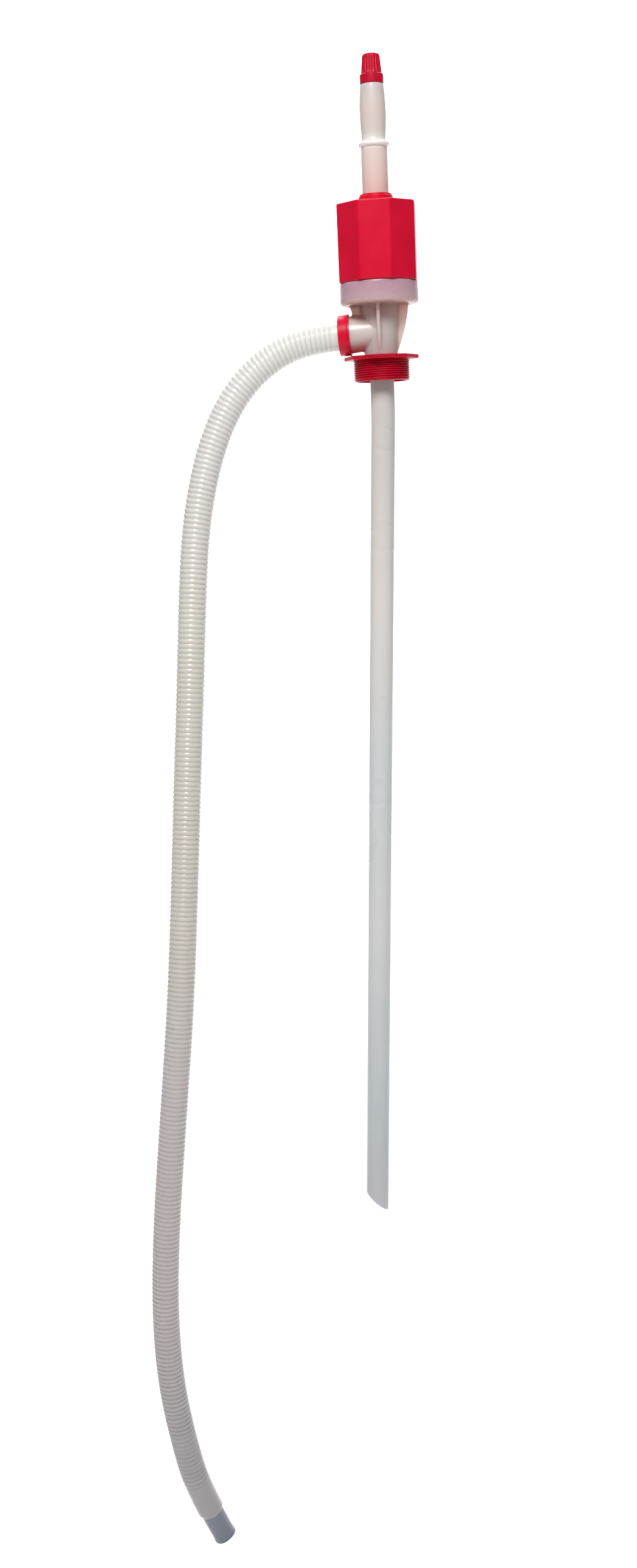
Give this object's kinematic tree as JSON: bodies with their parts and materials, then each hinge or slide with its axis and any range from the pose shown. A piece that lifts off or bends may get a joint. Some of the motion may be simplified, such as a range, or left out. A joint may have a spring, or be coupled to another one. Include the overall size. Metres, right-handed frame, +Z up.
{
  "type": "siphon drum pump",
  "caption": "Hand-lift plastic siphon pump for a drum: octagonal cylinder, hollow grip rod with a vent cap, threaded bung adapter, long suction tube and a corrugated discharge hose.",
  "frame": {"origin": "centre of the bung adapter's flange on its underside, where it seats on the drum", "axes": "+Z up the pump's axis through the handle; the spout and hose leave along -X; -Y is the side seen from the front"},
  "size_m": [0.3401, 0.1226, 1.6656],
  "materials": {
    "red_moulding": "satin moulded polypropylene",
    "red_gland": "satin moulded polypropylene",
    "red_adapter": "satin moulded polypropylene",
    "natural_body": "translucent natural polyethylene",
    "natural_tube": "translucent natural polyethylene",
    "natural_handle": "translucent natural polyethylene",
    "hose_white": "milky corrugated polyethylene",
    "nozzle_clear": "blue-grey translucent vinyl",
    "white_valve": "white moulded acetal",
    "black_rubber": "nitrile rubber",
    "steel_pin": "stainless wire"
  },
  "bodies": {
    "adapter": {"bung_adapter": "red_adapter"},
    "pump_head": {"pump_body": "natural_body", "adapter_retaining_ring": "white_valve", "hose_collar": "red_moulding", "suction_tube": "natural_tube", "inlet_valve_seat": "white_valve", "outlet_valve_seat": "white_valve", "outlet_hinge_pin": "steel_pin", "cylinder_base": "red_moulding", "cylinder_housing": "red_moulding", "housing_gasket": "black_rubber", "gland_nut": "red_gland", "rod_seal": "black_rubber", "discharge_hose": "hose_white", "outlet_nozzle": "nozzle_clear"},
    "handle": {"handle_tube": "natural_handle", "piston_head": "white_valve", "piston_seal": "black_rubber", "piston_nut": "white_valve"},
    "cap_seal": {"vent_seal": "black_rubber"},
    "cap": {"vent_cap": "red_moulding"},
    "inlet_valve": {"inlet_valve_disc": "black_rubber"},
    "outlet_flap": {"outlet_valve_flap": "black_rubber"}
  },
  "joints": [
    {"name": "head_swivel", "type": "hinge", "parent": "adapter", "child": "pump_head", "pos_m": [0, 0, 0], "axis": [0, 0, 1], "continuous": true},
    {"name": "handle_stroke", "type": "slide", "parent": "pump_head", "child": "handle", "axis": [0, 0, 1], "range_m": [-0.046, 0]},
    {"name": "vent_cap_turn", "type": "hinge", "parent": "cap_seal", "child": "cap", "pos_m": [0, 0, 0.28], "axis": [0, 0, 1], "range_deg": [0, 720]},
    {"name": "vent_cap_lift", "type": "slide", "parent": "handle", "child": "cap_seal", "axis": [0, 0, 1], "range_m": [0, 0.006]},
    {"name": "inlet_valve_lift", "type": "slide", "parent": "pump_head", "child": "inlet_valve", "axis": [0, 0, 1], "range_m": [0, 0.004]},
    {"name": "outlet_flap_swing", "type": "hinge", "parent": "pump_head", "child": "outlet_flap", "pos_m": [-0.02442, 0, 0.03734], "axis": [0, 1, 0], "range_deg": [0, 45]}
  ],
  "couplings": [
    {"joint": "vent_cap_lift", "follows": "vent_cap_turn", "m_per_rad": 0.00047742}
  ]
}
